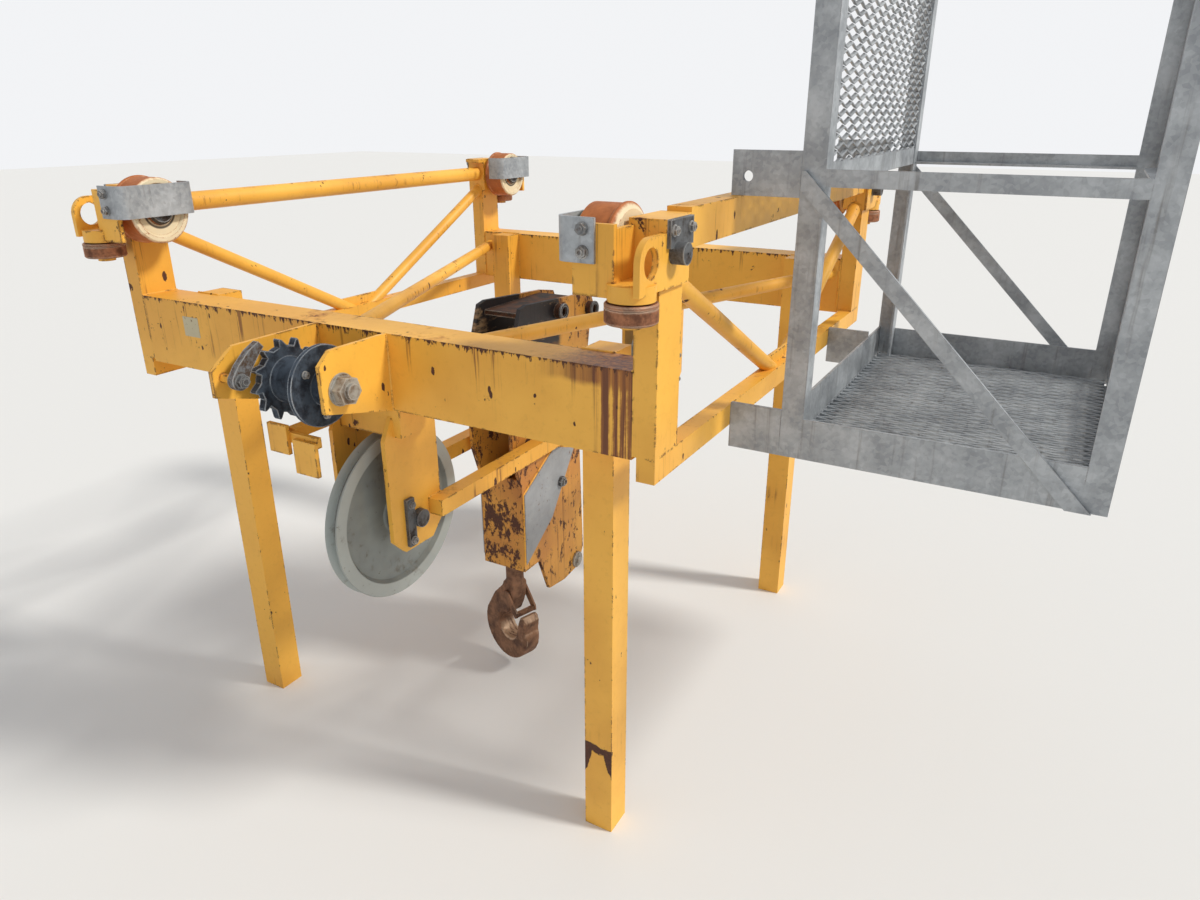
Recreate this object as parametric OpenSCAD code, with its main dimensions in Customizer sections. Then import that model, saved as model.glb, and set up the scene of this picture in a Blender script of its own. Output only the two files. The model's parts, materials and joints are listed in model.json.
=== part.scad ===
// Running trolley of a tower crane's jib, on its assembly legs, with the hook
// block stored between its rope pulleys and the service basket on its right.
// X runs across the jib, Y along it, Z up. The origin is on the floor below the
// middle of the whole outline.

/* [Trolley frame] */
// Width over the outer faces of the corner posts
frame_w = 1547; // [1400:1:1800]
// Length over the outer faces of the two cross beams
frame_l = 1598; // [1450:1:1900]
// Depth of a cross beam along the jib
beam_d = 100; // [80:1:120]
// Height of a cross beam
beam_h = 177; // [150:1:200]
// Height of the cross beams' underside above the floor
beam_z = 1078; // [1000:1:1200]
// Width of a corner post
post_w = 50; // [40:1:60]
// Height of a lower side rail
rail_h = 50; // [40:1:60]
// Width of a lower side rail
rail_w = 40; // [30:1:48]

/* [Legs] */
// Side of a square leg tube
leg_w = 75; // [60:1:90]
// Distance from a post's outer face to the leg
leg_inset = 143; // [120:1:180]

/* [Wheel heads] */
// Radius of a running wheel
wheel_r = 80; // [74:1:84]
// Width of a running wheel
wheel_w = 80; // [60:1:82]
// Height of the running wheels' axles
wheel_z = 1473; // [1468:1:1478]
// How far a wheel's axle lies behind the face of the post
wheel_in = 29; // [24:1:34]
// Gap between a wheel's outer face and the bay's wall
wheel_gap = 8; // [6:1:14]
// Diameter of a wheel axle
axle_d = 40; // [30:1:44]
// Height of a head's top
head_z = 1520; // [1500:1:1540]
// Thickness of a head's plates
head_t = 12; // [8:1:14]
// Radius of a guide roller
roller_r = 48; // [40:1:50]
// Height of a guide roller
roller_h = 36; // [30:1:40]
// Height of a guide roller's upper face
roller_z = 1398; // [1394:1:1400]
// Diameter of a guide roller's pin
roller_pin_d = 24; // [18:1:30]
// Radius of the hole in a ring lug
lug_hole_r = 27; // [22:1:30]
// Width of a guard strip beside a wheel
guard_h = 77; // [60:1:80]

/* [Side trusses] */
// Diameter of the round truss tubes
tube_d = 38; // [32:1:44]
// Diameter of the left top tube
top_tube_d = 50; // [40:1:56]
// Height of the right top beam
top_beam_h = 74; // [60:1:80]

/* [Pulleys] */
// Place of the rope plane across the jib
rope_x = 40; // [30:1:50]
// Distance of a pulley's axle from the trolley's middle, along the jib
pulley_out = 740; // [700:1:760]
// Radius of a rope pulley
pulley_r = 215; // [180:1:218]
// Width of a rope pulley
pulley_w = 44; // [36:1:50]
// Height of the pulley axles
pulley_z = 785; // [775:1:790]
// Diameter of a pulley axle
pulley_axle_d = 45; // [35:1:50]
// Clear width between two hanger plates
hanger_gap = 150; // [140:1:170]
// Middle of the hangers across the jib
hanger_mid = 25; // [15:1:35]
// Side of the square tie tubes between the hangers
tie_w = 42; // [36:1:46]

/* [Rope winch] */
// Radius of the winch drum's flange
flange_r = 88; // [80:1:92]
// Radius of the winch drum's barrel
barrel_r = 46; // [36:1:54]
// Height of the winch shaft
winch_z = 1168; // [1166:1:1176]
// Distance of the winch shaft in front of the beam
winch_out = 146; // [140:1:152]
// Diameter of the winch shaft
winch_shaft_d = 30; // [24:1:36]
// Number of ratchet teeth
teeth = 12; // [8:1:16]

/* [Hook block] */
// Width of the hook block
block_w = 150; // [140:1:156]
// Thickness of a side plate of the block
block_t = 12; // [8:1:14]
// Diameter of the hook's shank
shank_d = 40; // [32:1:46]
// Radius of the hook's throat
throat_r = 46; // [40:1:50]
// Radius of the hook's outer round
bowl_r = 104; // [98:1:108]
// Thickness of the hook
hook_t = 60; // [48:1:64]
// Radius of the block's sheaves
sheave_r = 92; // [80:1:96]

/* [Service basket] */
// Inner face of the basket, from the trolley's middle
basket_x = 893; // [880:1:920]
// Width of the basket
basket_w = 650; // [600:1:700]
// Length of the basket along the jib
basket_l = 983; // [940:1:1020]
// Height of the basket's underside
basket_z = 983; // [975:1:990]
// Height of the basket above its underside
basket_h = 1220; // [1180:1:1260]
// Height of the knee rail above the underside
knee_h = 615; // [605:1:625]
// Height of a toe board
toe_h = 93; // [80:1:110]
// Leg length of the basket's angle bars
angle_w = 49; // [40:1:55]
// Thickness of the basket's bars and boards
angle_t = 6; // [5:1:8]
// Width of a brace of the basket, measured level
brace_w = 46; // [40:1:56]

/* [Hidden] */
$fn = 48;

yellow = [0.90, 0.62, 0.16];
galvanised = [0.55, 0.57, 0.58];
dark_steel = [0.25, 0.28, 0.32];
rust = [0.50, 0.28, 0.14];
cream = [0.85, 0.76, 0.60];
light_grey = [0.66, 0.69, 0.68];

// Clearance of a shaft in its bore, on the radius
fit = 0.05;
// Running gap between a turning piece and what it passes
run = 6;
// Gap left between a piece and the seat that it rests on
seat = 0.3;

half_w = frame_w / 2;
half_l = frame_l / 2;
beam_top = beam_z + beam_h;
rail_z0 = beam_z - 43;
rail_z1 = rail_z0 + rail_h;
truss_x = half_w - post_w / 2;
top_beam_z1 = head_z + 21;
top_tube_z = top_beam_z1 - 65;
// Height of the diagonals' axes where they cross, and their rise along the jib
diagonal_z0 = 1050;
diagonal_rise = 0.52;
leg_x = half_w - leg_inset - leg_w / 2;
leg_y = half_l - beam_d - leg_w / 2;
// How far the plan braces' ends stand clear of the rear legs
brace_gap = 42;
beam_mid_y = half_l - beam_d / 2;

// Wheel head, measured for the right front corner
wheel_y = -half_l + wheel_in;
bay_wall_x1 = half_w - post_w;
bay_wall_x0 = bay_wall_x1 - head_t;
wheel_x1 = bay_wall_x0 - wheel_gap;
wheel_x0 = wheel_x1 - wheel_w;
flange_h = 3;
bay_front_y = wheel_y - wheel_r - 14;
shelf_z1 = roller_z + 32;
shelf_z0 = roller_z + 16;
roller_y = -half_l - roller_r - 10;
roller_x = half_w - post_w / 2;
lug_r = lug_hole_r + 16;
lug_y = -half_l - 59;
lug_z = shelf_z1 + lug_hole_r + 9;
plate_z0 = roller_z + 14;
axle_end_x = half_w + head_t + 28;
axle_head_x = wheel_x0 - 3;
guard_t = 6;
guard_z0 = head_z - guard_h + 18;
guard_bend = 25;
guard_back_y = wheel_y + wheel_r + flange_h + run;
keeper_t = 8;
top_lap = 30;

// Rope pulleys and their hangers
hanger_t = 12;
hanger_x1 = hanger_mid + hanger_gap / 2;
hanger_x0 = hanger_mid - hanger_gap / 2;
hanger_half = 88;
hanger_low = pulley_z - 74;
cap_z0 = beam_z - 66;
tie_z0 = pulley_z - 8;
tie_z1 = tie_z0 + tie_w;

// Winch on the front of the beam
beam_face = -half_l;
winch_y = beam_face - winch_out;
winch_t = 10;
winch_right_x = 111;
winch_left_x = -88;
winch_nose_y = winch_y - 143;
ratchet_x0 = -50;
ratchet_x1 = -32;
ratchet_r = flange_r - 16;
drum_flange_x = 62;
pawl_y = winch_nose_y + 25;
pawl_z = winch_z + 26;
pawl_pin_d = 18;

// Hook block, outline seen from the side
block_mid = hanger_mid + 5;
block_x0 = block_mid - block_w / 2;
block_x1 = block_mid + block_w / 2;
block_front = -285;
hook_y = block_front + 50;
block_low = 400;
pin_y = -50;
pin_d = 30;
pin_z = tie_z1 + pin_d / 2 + seat;
sheave_w = 64;
sheave_pin_d = 36;
front_sheave_y = -218;
rear_sheave_y = -12;
sheave_z = 985;
floor_h = 50;
bowl_x = block_mid - 10;
bowl_z = 167;
hook_turn = -18;
latch_z = bowl_z + 125;
latch_pin_d = 10;
block_top = 1195;
bushing_y = -72;
bushing_z = 1164;
bushing_d = 44;

// Service basket
basket_y0 = -404;
basket_y1 = basket_y0 + basket_l;
basket_x1 = basket_x + basket_w;
basket_top = basket_z + basket_h;
knee_z = basket_z + knee_h;
knee_bar = 34;
top_bar = 39;
floor_t = 4;
mesh_t = 3;
brace_t = 8;
bracket_t = 10;
bracket_hole_r = 11;
far_bracket_y = basket_y0 + 827;

// Middle of the outline, which the origin lies below
middle_x = (basket_x1 - axle_end_x) / 2;
rear_end = max(half_l + 10 + 2 * roller_r, pulley_out + pulley_r);
middle_y = (rear_end + winch_nose_y) / 2;

module box(x0, x1, y0, y1, z0, z1)
    translate([x0, y0, z0]) cube([x1 - x0, y1 - y0, z1 - z0]);

// Round bar from one point to another
module rod(a, b, d) {
    v = b - a;
    length = norm(v);
    turn = atan2(v[1], v[0]);
    lean = acos(v[2] / length);
    translate(a) rotate([0, lean, turn]) cylinder(d = d, h = length);
}

// Cylinder along X between two planes
module bar_x(x0, x1, y, z, d)
    translate([x0, y, z]) rotate([0, 90, 0]) cylinder(d = d, h = x1 - x0);

// Plate with its outline given in Y and Z, and its thickness along X
module side_plate(x0, x1, outline)
    translate([x0, 0, 0]) rotate([90, 0, 90]) linear_extrude(x1 - x0) polygon(outline);

// Takes the right front corner's shape to any corner
module corner(sx, sy)
    mirror([sx < 0 ? 1 : 0, 0, 0]) mirror([0, sy > 0 ? 1 : 0, 0]) children();

// Moves the trolley's own middle to the shared origin
module placed() translate([-middle_x, -middle_y, 0]) children();

module front_beam() color(yellow)
    box(-half_w + post_w, half_w - post_w, -half_l, -half_l + beam_d, beam_z, beam_top);

module rear_beam() color(yellow)
    box(-half_w + post_w, half_w - post_w, half_l - beam_d, half_l, beam_z, beam_top);

module corner_post(sx, sy) color(yellow) corner(sx, sy) difference() {
    union() {
        box(half_w - post_w, half_w, -half_l, -half_l + beam_d, rail_z1, head_z);
        box(half_w, half_w + head_t, -half_l, -half_l + beam_d, plate_z0, head_z + head_t);
        box(bay_wall_x0, half_w, -half_l, -half_l + beam_d + top_lap, head_z, head_z + head_t);
        box(bay_wall_x0, bay_wall_x1, bay_front_y, -half_l + beam_d, shelf_z0, head_z);
        box(wheel_x0 + 18, bay_wall_x1, bay_front_y - head_t, bay_front_y, roller_z + 6, head_z + 8);
        box(bay_wall_x0, half_w + head_t, bay_front_y - head_t, -half_l, shelf_z0, shelf_z1);
        ring_lug();
        roller_pin();
    }
    bar_x(bay_wall_x0 - 1, half_w + head_t + 1, wheel_y, wheel_z, axle_d + 2 * fit);
    bar_x(half_w - 1, half_w + head_t + 1, lug_y, lug_z, 2 * lug_hole_r);
}

// Ring lug above the guide roller, in line with the plate on the post's outer face
module ring_lug() {
    bar_x(half_w, half_w + head_t, lug_y, lug_z, 2 * lug_r);
    box(half_w, half_w + head_t, lug_y, -half_l, lug_z, lug_z + lug_r);
    box(half_w, half_w + head_t, lug_y - lug_r, -half_l, shelf_z0, lug_z);
}

module roller_pin() translate([roller_x, roller_y, 0]) {
    translate([0, 0, roller_z + 3]) cylinder(d = 86, h = shelf_z1 - roller_z - 3);
    translate([0, 0, roller_z - roller_h - 9]) cylinder(d = roller_pin_d, h = roller_h + 13);
    translate([0, 0, roller_z - roller_h - 9]) cylinder(d = 40, h = 6);
}

module legs(sy) color(yellow) for (sx = [-1, 1])
    box(sx * leg_x - leg_w / 2, sx * leg_x + leg_w / 2,
        sy * leg_y - leg_w / 2, sy * leg_y + leg_w / 2, 0, beam_top);

module lower_rail() box(half_w - rail_w, half_w, -half_l, half_l, rail_z0, rail_z1);

module left_rail() color(yellow) mirror([1, 0, 0]) lower_rail();

module right_rail() color(yellow) lower_rail();

// Tubes that rise from the middle of a rail to the posts at both its ends
module diagonals() {
    y1 = half_l - beam_d;
    intersection() {
        for (s = [-1, 1])
            rod([truss_x, -s * 40, diagonal_z0 - 40 * diagonal_rise],
                [truss_x, s * (y1 + 40), diagonal_z0 + (y1 + 40) * diagonal_rise], tube_d);
        box(0, frame_w, -y1, y1, rail_z1, head_z);
    }
    // Gusset on the rail
    box(truss_x - 5, truss_x + 5, -95, 95, rail_z1, rail_z1 + 30);
}

module left_truss() color(yellow) mirror([1, 0, 0]) {
    diagonals();
    rod([truss_x, -half_l + beam_d, top_tube_z], [truss_x, half_l - beam_d, top_tube_z], top_tube_d);
}

module right_truss() color(yellow) diagonals();

// Its upper part stops at the plates on the posts
module right_top_beam() color(yellow) {
    y1 = half_l - beam_d;
    z0 = top_beam_z1 - top_beam_h;
    box(half_w - post_w, half_w, -y1, y1, z0, head_z);
    box(half_w - post_w, half_w, -y1 + top_lap + seat, y1 - top_lap - seat, z0, top_beam_z1);
}

// Brace tubes in plan, from the middle of the front beam to the rear beam just outside the legs
module plan_bracing() color(yellow) {
    y1 = half_l - beam_d;
    z = beam_top - 50;
    rear_x = leg_x + leg_w / 2 + tube_d / 2 + brace_gap;
    intersection() {
        for (ends = [[-106, -rear_x], [194, rear_x]]) {
            lean = (ends[1] - ends[0]) / (2 * y1);
            rod([ends[0] - 20 * lean, -y1 - 20, z], [ends[1] + 20 * lean, y1 + 20, z], tube_d);
        }
        box(-half_w, half_w, -y1, y1, z - tube_d, z + tube_d);
    }
}

module hanger(sy) color(yellow) {
    y_mid = sy * pulley_out;
    difference() {
        union() {
            box(-100, 137, sy * beam_mid_y - beam_d / 2, sy * beam_mid_y + beam_d / 2, cap_z0, beam_z);
            for (x = [hanger_x0 - hanger_t, hanger_x1])
                side_plate(x, x + hanger_t, [
                    [y_mid - hanger_half, beam_z - 70], [y_mid - hanger_half, hanger_low + 40],
                    [y_mid - hanger_half + 38, hanger_low], [y_mid + hanger_half - 38, hanger_low],
                    [y_mid + hanger_half, hanger_low + 40], [y_mid + hanger_half, beam_z - 70],
                    [y_mid + 50, beam_z], [y_mid - 50, beam_z]]);
        }
        bar_x(hanger_x0 - 20, hanger_x1 + 20, y_mid, pulley_z, pulley_axle_d + 2 * fit);
    }
}

// Axle of the front rope pulley, with its collars and the keeper bar in its end
module pulley_axle() {
    y = -pulley_out;
    outer = hanger_x1 + hanger_t;
    bar_x(hanger_x0 - hanger_t - 10, outer + 18, y, pulley_z, pulley_axle_d);
    bar_x(hanger_x0 + seat, rope_x - pulley_w / 2 - 5, y, pulley_z, pulley_axle_d + 24);
    bar_x(rope_x + pulley_w / 2 + 5, hanger_x1 - seat, y, pulley_z, pulley_axle_d + 24);
    box(outer + seat, outer + 10, y - pulley_axle_d / 2 - 22, y - pulley_axle_d / 2 + 4,
        pulley_z - 62, pulley_z + 62);
}

module tie_tubes() color(yellow) {
    y = pulley_out - 42;
    box(hanger_x1 + hanger_t, hanger_x1 + hanger_t + tie_w, -y, y, tie_z0, tie_z1);
    box(hanger_x0 - hanger_t - tie_w, hanger_x0 - hanger_t, -y, y, tie_z0, tie_z1);
}

module winch_brackets() color(yellow) {
    difference() {
        union() {
            side_plate(winch_right_x, winch_right_x + winch_t, [
                [beam_face, beam_z], [beam_face, beam_top], [winch_y - 19, beam_top],
                [winch_y - 52, beam_top - 28], [winch_y - 50, beam_z + 48]]);
            side_plate(winch_left_x - winch_t, winch_left_x, [
                [beam_face, beam_z], [beam_face, beam_top], [winch_y - 83, beam_top - 2],
                [winch_nose_y, beam_top - 45], [winch_nose_y, beam_z + 77], [winch_y - 45, beam_z + 49]]);
        }
        bar_x(winch_left_x - 20, winch_right_x + 20, winch_y, winch_z, winch_shaft_d + 2 * fit);
    }
    // Shaft with its hexagon head
    bar_x(winch_left_x - winch_t - 12, winch_right_x + winch_t + seat, winch_y, winch_z, winch_shaft_d);
    translate([winch_right_x + winch_t + seat, winch_y, winch_z]) rotate([0, 90, 0])
        cylinder(d = 52, h = 26, $fn = 6);
    // Pin on which the pawl turns
    bar_x(winch_left_x, ratchet_x1 + 6, pawl_y, pawl_z, pawl_pin_d);
}

module rope_anchor() color(yellow) {
    box(-86, hanger_x0 - hanger_t, -925, beam_face, cap_z0 + 4, cap_z0 + 30);
    box(-120, 20, -937, -925, cap_z0, cap_z0 + 24);
    box(-124, -64, -947, -937, 985, cap_z0 + 42);
    box(-48, 20, -947, -937, 945, cap_z0 + 14);
}

module wheel_axles() color(dark_steel) {
    for (sx = [-1, 1], sy = [-1, 1]) corner(sx, sy) {
        bar_x(wheel_x0 - 1, axle_end_x, wheel_y, wheel_z, axle_d);
        bar_x(axle_head_x - 3, wheel_x0 - 1, wheel_y, wheel_z, axle_d + 16);
        difference() {
            box(half_w + head_t + seat, half_w + head_t + keeper_t, -half_l, -half_l + 96,
                wheel_z + 10, wheel_z + 59);
            bar_x(half_w, half_w + 60, wheel_y, wheel_z, axle_d - 4);
        }
    }
    pulley_axle();
    mirror([0, 1, 0]) pulley_axle();
}

// Strip bent round the inner side of each running wheel
module wheel_guards() color(galvanised)
    for (sx = [-1, 1], sy = [-1, 1]) corner(sx, sy) {
        x0 = axle_head_x - 6 - guard_t;
        y0 = bay_front_y - head_t - guard_t;
        y1 = guard_back_y + guard_t;
        r = guard_bend;
        translate([0, 0, guard_z0]) linear_extrude(guard_h) difference() {
            guard_outline(x0, wheel_x0 + 65, wheel_x0 + 45, y0, y1, r);
            guard_outline(x0 + guard_t, frame_w, frame_w, y0 + guard_t, y1 - guard_t, r - guard_t);
        }
    }

// Area inside a guard strip, with its two bends
module guard_outline(x0, x_front, x_back, y0, y1, r) {
    for (y = [y0 + r, y1 - r]) translate([x0 + r, y]) circle(r = r);
    polygon([[x0, y0 + r], [x0, y1 - r], [x0 + r, y1], [x_back, y1], [x_back, y1 - 2 * r],
        [x_front, y0 + 2 * r], [x_front, y0], [x0 + r, y0]]);
}

module running_wheel(sx, sy) color(cream) corner(sx, sy)
    translate([wheel_x0, wheel_y, wheel_z]) rotate([0, 90, 0]) rotate_extrude()
        polygon([[axle_d / 2 + fit, 2], [34, 2], [34, 8], [60, 8], [66, 0], [wheel_r - 5, 0],
            [wheel_r, 5], [wheel_r, wheel_w - 16], [wheel_r + flange_h, wheel_w - 12],
            [wheel_r + flange_h, wheel_w - 8], [wheel_r - 10, wheel_w], [axle_d / 2 + fit, wheel_w]]);

module guide_roller(sx, sy) color(rust) corner(sx, sy)
    translate([roller_x, roller_y, roller_z - roller_h]) rotate_extrude()
        polygon([[roller_pin_d / 2 + fit, 0], [roller_r - 3, 0], [roller_r, 3],
            [roller_r, roller_h - 9], [roller_r - 2, roller_h - 8], [roller_r, roller_h - 7],
            [roller_r, roller_h - 2], [roller_r - 2, roller_h], [roller_pin_d / 2 + fit, roller_h]]);

// Rope pulley: rim with a rope groove, thin disc and hub
module pulley(sy) color(light_grey)
    translate([rope_x - pulley_w / 2, sy * pulley_out, pulley_z]) rotate([0, 90, 0])
        rotate_extrude($fn = 96) polygon([
            [pulley_axle_d / 2 + fit, 0], [46, 0], [52, 14], [pulley_r - 42, 15], [pulley_r - 34, 4], [pulley_r - 2, 4], [pulley_r, 6],
            [pulley_r - 20, pulley_w / 2 - 7], [pulley_r - 22, pulley_w / 2],
            [pulley_r - 20, pulley_w / 2 + 7], [pulley_r, pulley_w - 6], [pulley_r - 2, pulley_w - 4],
            [pulley_r - 34, pulley_w - 4], [pulley_r - 42, pulley_w - 15], [52, pulley_w - 14],
            [46, pulley_w], [pulley_axle_d / 2 + fit, pulley_w]]);

module winch_drum() color(dark_steel) translate([0, winch_y, winch_z]) rotate([0, 90, 0]) {
    rotate_extrude() polygon([
        [winch_shaft_d / 2 + fit, winch_left_x + 6], [34, winch_left_x + 6], [34, ratchet_x0],
        [barrel_r + 4, ratchet_x0], [barrel_r + 4, ratchet_x1], [barrel_r, ratchet_x1 + 12],
        [barrel_r, drum_flange_x],
        [flange_r, drum_flange_x], [flange_r, drum_flange_x + 10], [40, drum_flange_x + 14],
        [40, winch_right_x - 5], [winch_shaft_d / 2 + fit, winch_right_x - 5]]);
    translate([0, 0, ratchet_x0]) linear_extrude(ratchet_x1 - ratchet_x0) difference() {
        union() {
            circle(r = ratchet_r);
            for (i = [0 : teeth - 1]) rotate(360 / teeth * i)
                polygon([[ratchet_r - 8, -14], [ratchet_r + 15, 5], [ratchet_r + 17, 10],
                    [ratchet_r + 13, 12], [ratchet_r - 8, 12]]);
        }
        circle(r = barrel_r);
    }
}

module winch_pawl() color(light_grey) difference() {
    union() {
        bar_x(ratchet_x0, ratchet_x1 - 2, pawl_y, pawl_z, 40);
        side_plate(ratchet_x0, ratchet_x1 - 2, [
            [pawl_y - 18, pawl_z + 9], [pawl_y, pawl_z + 32], [pawl_y + 28, pawl_z + 56],
            [pawl_y + 56, pawl_z + 70], [pawl_y + 67, pawl_z + 57], [pawl_y + 52, pawl_z + 42],
            [pawl_y + 30, pawl_z + 16], [pawl_y + 15, pawl_z - 13]]);
    }
    bar_x(ratchet_x0 - 1, ratchet_x1, pawl_y, pawl_z, pawl_pin_d + 2 * fit);
}

// Outline of the block's side plates, in Y and Z
block_outline = [
    [block_front, block_low], [block_front, 680], [block_front - 40, 800], [block_front - 40, 960],
    [block_front - 5, 1129], [block_front + 23, block_top + 8], [block_front + 55, block_top + 15],
    [60, block_top - 5], [125, 1178], [142, 1145], [130, 1105], [115, 1080], [45, 720], [62, 330],
    [30, 272], [-60, 262], [-150, 275], [-200, block_low]];
// Outline of the raised guard plates
guard_plate = [[block_front + 4, 425], [block_front + 4, 655], [-112, 752], [0, 712], [-133, 525]];

module block_frame() color(yellow) difference() {
    union() {
        side_plate(block_x0, block_x0 + block_t, block_outline);
        side_plate(block_x1 - block_t, block_x1, block_outline);
        // Front plate, floor and rear strip between the side plates
        inner_x0 = block_x0 + block_t;
        inner_x1 = block_x1 - block_t;
        box(inner_x0, inner_x1, block_front, block_front + 8, block_low + floor_h, 700);
        box(inner_x0, inner_x1, block_front, hook_y + 50, block_low, block_low + floor_h);
        side_plate(inner_x0, inner_x1, [[45, 720], [37, 720], [54, 330], [62, 330]]);
        for (x = [block_x0 - 6, block_x1]) side_plate(x, x + 6, guard_plate);
        // Pins of the sheaves, and the pin that lies on the tie tubes
        for (y = [front_sheave_y, rear_sheave_y])
            bar_x(block_x0 - 12, block_x1 + 12, y, sheave_z, sheave_pin_d);
        bar_x(hanger_x0 - hanger_t - tie_w, hanger_x1 + hanger_t + tie_w, pin_y, pin_z, pin_d);
    }
    translate([block_mid, hook_y, block_low - 1]) cylinder(d = shank_d + 2 * fit, h = floor_h + 2);
}

// Cover between the side plates, and greased bushings on their outer faces
module block_head() color(rust) {
    box(block_x0 + block_t, block_x1 - block_t, block_front + 45, 45, block_top - 24, block_top - 10);
    for (p = [[bushing_y, bushing_z], [bushing_y + 179, bushing_z - 25]],
         x = [[block_x0 - 20, block_x0], [block_x1, block_x1 + 20]])
        difference() {
            bar_x(x[0], x[1], p[0], p[1], bushing_d);
            bar_x(x[0] - 1, x[1] + 1, p[0], p[1], bushing_d - 16);
        }
}

module sheave(y) color(dark_steel)
    translate([block_mid - sheave_w / 2, y, sheave_z]) rotate([0, 90, 0]) rotate_extrude()
        polygon([[sheave_pin_d / 2 + fit, 0], [sheave_r, 0], [sheave_r, 6],
            [sheave_r - 14, sheave_w / 2 - 8], [sheave_r - 14, sheave_w / 2 + 8],
            [sheave_r, sheave_w - 6], [sheave_r, sheave_w],
            [sheave_pin_d / 2 + fit, sheave_w]]);

// Outline of the hook in X and Z, about the middle of its throat
module hook_outline() {
    difference() {
        translate([-14, -18]) circle(r = bowl_r);
        circle(r = throat_r);
        polygon([[0, 0], [200, 0], [200, 200], [0, 200]]);
    }
    // Tip
    polygon([[throat_r, -6], [bowl_r - 20, -6], [bowl_r - 12, 40], [bowl_r - 24, 62],
        [throat_r + 20, 58], [throat_r + 8, 30]]);
    // Neck
    polygon([[-100, 40], [-66, 96], [-22, 140], [-14, 160], [34, 160], [30, 110], [14, 70],
        [0, throat_r - 4], [-40, 40]]);
}

// The hook and its latch are turned about the shank as they stand at rest
module hook() color(rust) translate([block_mid, hook_y, 0]) rotate([0, 0, hook_turn]) difference() {
    union() {
        translate([bowl_x - block_mid, hook_t / 2, bowl_z]) rotate([90, 0, 0])
            linear_extrude(hook_t) hook_outline();
        translate([0, 0, bowl_z + 140]) cylinder(d = shank_d, h = block_low + floor_h - bowl_z - 132);
        translate([0, 0, bowl_z + 150]) cylinder(d = shank_d + 16, h = block_low - bowl_z - 156);
        translate([0, 0, block_low + floor_h + seat]) cylinder(d = 60, h = 30, $fn = 6);
    }
    translate([0, -50, latch_z]) rotate([-90, 0, 0]) cylinder(d = latch_pin_d + 2 * fit, h = 100);
}

// Safety latch that closes the hook's mouth, with the pin that it turns on
module hook_latch() color(dark_steel)
    translate([block_mid, hook_y, latch_z]) rotate([0, 0, hook_turn]) {
    outer = hook_t / 2 + 9;
    rotate([-90, 0, 0]) translate([0, 0, -outer]) cylinder(d = latch_pin_d, h = 2 * outer);
    for (y = [-outer, outer - 6]) translate([0, y + 6, 0]) rotate([90, 0, 0]) linear_extrude(6)
        polygon([[-11, 4], [-4, 11], [8, 9], [53, -50], [54, -66], [43, -72], [-6, -9]]);
    box(38, 50, -outer + 1, outer - 1, -68, -54);
}

// Angle bar standing in a corner of the basket, whose side leg is at x
module post_angle(x, y, sx, sy)
    translate([x, y, 0]) scale([sx, sy, 1]) {
        box(0, angle_w, 0, angle_t, basket_z, basket_top);
        box(0, angle_t, 0, angle_w, basket_z, basket_top);
    }

module basket_posts() color(galvanised) {
    post_angle(basket_x + angle_w, basket_y0, -1, 1);
    post_angle(basket_x1, basket_y0, -1, 1);
    post_angle(basket_x + angle_w, basket_y1, -1, -1);
    post_angle(basket_x1, basket_y1, -1, -1);
}

// Frame of bars between the posts, at one height
module ring_of_bars(z, h, inward) {
    a = angle_t;
    w = angle_w;
    box(basket_x + w, basket_x1 - w, basket_y0, basket_y0 + a, z, z + h);
    box(basket_x + w, basket_x1 - w, basket_y1 - a, basket_y1, z, z + h);
    box(basket_x, basket_x + a, basket_y0 + a, basket_y1 - a, z, z + h);
    box(basket_x1 - a, basket_x1, basket_y0 + w, basket_y1 - w, z, z + h);
    if (inward > 0) {
        box(basket_x + w, basket_x1 - w, basket_y0 + a, basket_y0 + inward, z, z + a);
        box(basket_x + w, basket_x1 - w, basket_y1 - inward, basket_y1 - a, z, z + a);
        box(basket_x + a, basket_x + inward, basket_y0 + w, basket_y1 - w, z, z + a);
        box(basket_x1 - inward, basket_x1 - a, basket_y0 + w, basket_y1 - w, z, z + a);
    }
}

module basket_toe_boards() color(galvanised) ring_of_bars(basket_z, toe_h, angle_w);

module basket_rails() color(galvanised) {
    ring_of_bars(knee_z - knee_bar, knee_bar, knee_bar);
    ring_of_bars(basket_top - top_bar, top_bar, top_bar);
}

// Diamond lattice of flat strands, filling a rectangle
module diamonds(w, h, pitch_w, pitch_h, strand, t) {
    n = ceil(w / pitch_w + h / pitch_h) + 1;
    lean = atan2(pitch_h, pitch_w);
    linear_extrude(t) intersection() {
        square([w, h]);
        for (i = [-n : n], s = [-1, 1])
            translate([w / 2 + i * pitch_w, h / 2]) rotate(s * lean)
                square([2 * (w + h), strand], center = true);
    }
}

// Expanded metal in a flat border that lies on the toe boards' lower legs
module basket_floor() color(galvanised) {
    w = basket_w - 2 * angle_t - 2;
    l = basket_l - 2 * angle_t - 2;
    b = angle_w;
    translate([basket_x + angle_t + 1, basket_y0 + angle_t + 1, basket_z + angle_t + seat]) {
        difference() {
            cube([w, l, floor_t]);
            translate([b, b, -1]) cube([w - 2 * b, l - 2 * b, floor_t + 2]);
            for (x = [-1, w - b - 1], y = [-1, l - b - 1])
                translate([x, y, -1]) cube([b + 2, b + 2, floor_t + 2]);
        }
        translate([b - 2, b - 2, 0]) diamonds(w - 2 * b + 4, l - 2 * b + 4, 160, 72, 10, floor_t);
    }
}

// Flat brace on an end of the basket, seen from the front
module basket_brace(y0)
    translate([0, y0 + brace_t, 0]) rotate([90, 0, 0]) linear_extrude(brace_t) polygon([
        [basket_x + 3, knee_z - 42], [basket_x + 3, knee_z - 4],
        [basket_x + brace_w - 35, knee_z - 4], [basket_x1 + brace_w - 74, basket_z],
        [basket_x1 - 74, basket_z]]);

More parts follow.
